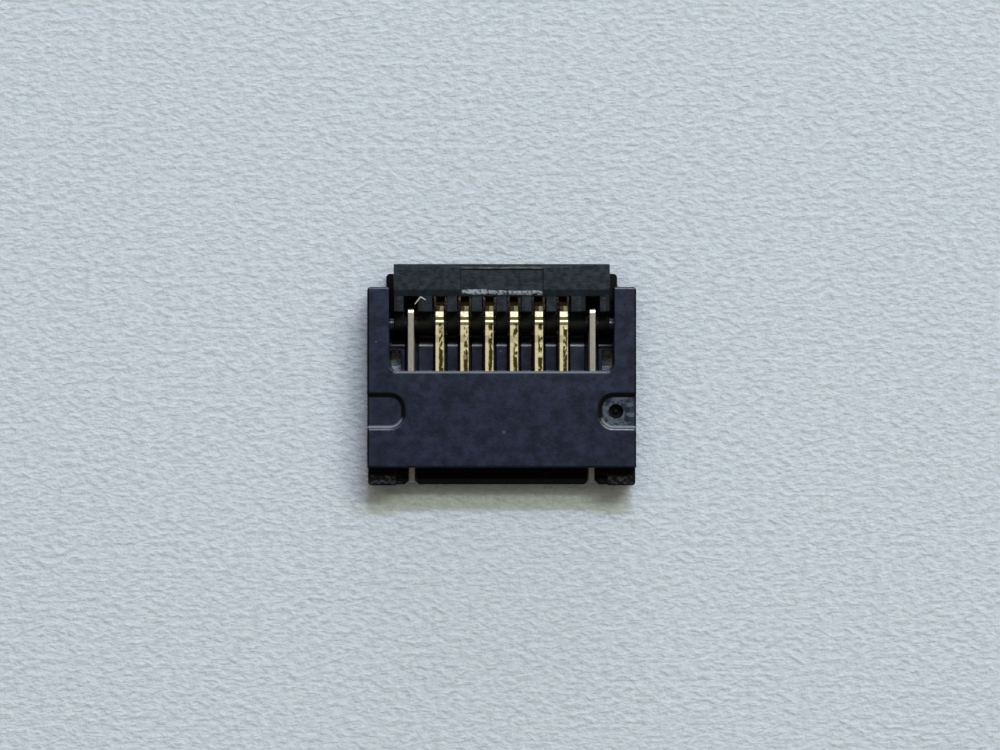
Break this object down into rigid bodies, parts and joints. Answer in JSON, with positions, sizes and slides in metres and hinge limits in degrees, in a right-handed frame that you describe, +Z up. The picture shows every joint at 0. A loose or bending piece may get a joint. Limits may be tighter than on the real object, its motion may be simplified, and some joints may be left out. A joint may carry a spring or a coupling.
{
  "type": "battery connector",
  "caption": "Low flat-cable socket for a battery tail: a moulded housing with a front mouth, a row of stamped fork contacts and a rear lever that flips up to free the cable.",
  "frame": {"origin": "middle of the housing's board face, on the board's surface", "axes": "+X along the row of contacts, +Y from the cable mouth to the lever, +Z up from the board"},
  "size_m": [0.0054, 0.0045, 0.0012],
  "materials": {
    "housing_plastic": "moulded liquid crystal polymer, fine matt grain",
    "lever_plastic": "moulded glass-filled nylon, satin",
    "contact_gold": "gold over nickel on blanked phosphor bronze",
    "hold_down_tin": "matt tin on blanked phosphor bronze"
  },
  "bodies": {
    "connector": {"housing": "housing_plastic", "contact_1": "contact_gold", "contact_2": "contact_gold", "contact_3": "contact_gold", "contact_4": "contact_gold", "contact_5": "contact_gold", "contact_6": "contact_gold", "hold_down_left": "hold_down_tin", "hold_down_right": "hold_down_tin"},
    "flip_lever": {"lever": "lever_plastic"}
  },
  "joints": [
    {"name": "lever_flip", "type": "hinge", "parent": "connector", "child": "flip_lever", "pos_m": [0, 0.00126, 0.00058], "axis": [1, 0, 0], "range_deg": [0, 100]}
  ]
}
